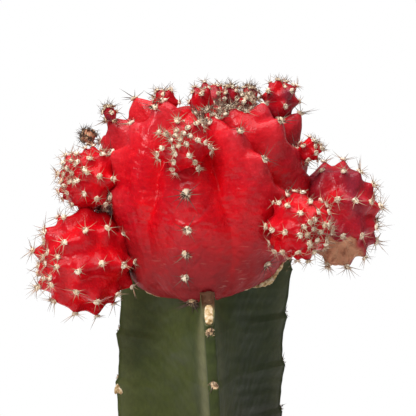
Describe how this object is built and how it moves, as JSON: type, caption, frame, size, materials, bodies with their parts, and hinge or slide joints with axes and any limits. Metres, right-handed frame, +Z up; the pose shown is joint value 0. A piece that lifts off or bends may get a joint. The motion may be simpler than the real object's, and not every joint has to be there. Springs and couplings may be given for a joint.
{
  "type": "potted moon cactus",
  "caption": "Potted moon cactus: a red ribbed scion with spiny offsets, grafted on a green winged rootstock and planted in a plain terracotta pot.",
  "frame": {"origin": "on the pot's axis, on the surface that the pot stands on", "axes": "+Z up along the pot's axis; -Y is the plant's front, which the big smooth rib and the front wing of the rootstock face"},
  "size_m": [0.1, 0.1, 0.1899],
  "materials": {
    "terracotta": "matte",
    "potting_soil": "matte",
    "rootstock_skin": "satin",
    "scion_skin": "satin",
    "offset_skin": "satin",
    "dried_skin": "matte"
  },
  "bodies": {
    "root": {"pot": "terracotta", "soil": "potting_soil", "rootstock": "rootstock_skin", "scion": "scion_skin", "offset_left_lower": "offset_skin", "offset_left_upper": "offset_skin", "offset_right_front": "offset_skin", "offset_right_back": "offset_skin", "offset_crown_front": "offset_skin", "offset_top_left": "offset_skin", "offset_top_mid": "offset_skin", "offset_top_spiny": "offset_skin", "offset_top_small": "offset_skin", "offset_top_dark": "offset_skin", "offset_top_right": "offset_skin", "offset_right_small": "offset_skin", "offset_left_stub": "offset_skin", "offset_dried": "dried_skin", "offset_back_left": "offset_skin", "offset_back_right": "offset_skin", "offset_back_top": "offset_skin"}
  },
  "joints": []
}
